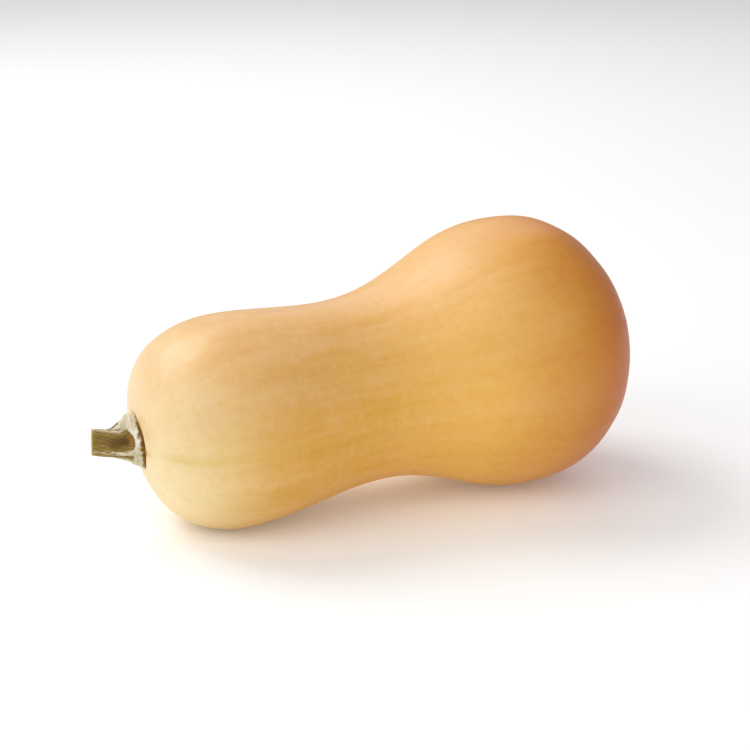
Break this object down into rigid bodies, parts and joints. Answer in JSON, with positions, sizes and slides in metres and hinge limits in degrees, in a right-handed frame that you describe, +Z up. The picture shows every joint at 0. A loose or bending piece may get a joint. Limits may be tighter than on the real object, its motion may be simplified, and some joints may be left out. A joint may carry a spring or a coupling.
{
  "type": "butternut squash",
  "caption": "Whole butternut squash lying on its side, with a long neck, a rounded belly and a short woody stem.",
  "frame": {"origin": "on the floor, under the middle of the whole squash with its stem", "axes": "+Z up; +X along the length, towards the blossom end, so the stem end is at -X"},
  "size_m": [0.2454, 0.1217, 0.1191],
  "materials": {
    "skin": "waxy, smooth, softly glossy peel, pale peach on the neck and deeper ochre at the blossom end",
    "stem": "dry, ridged and corky, grey-green with brown edges"
  },
  "bodies": {
    "root": {"fruit": "skin", "stem": "stem"}
  },
  "joints": []
}
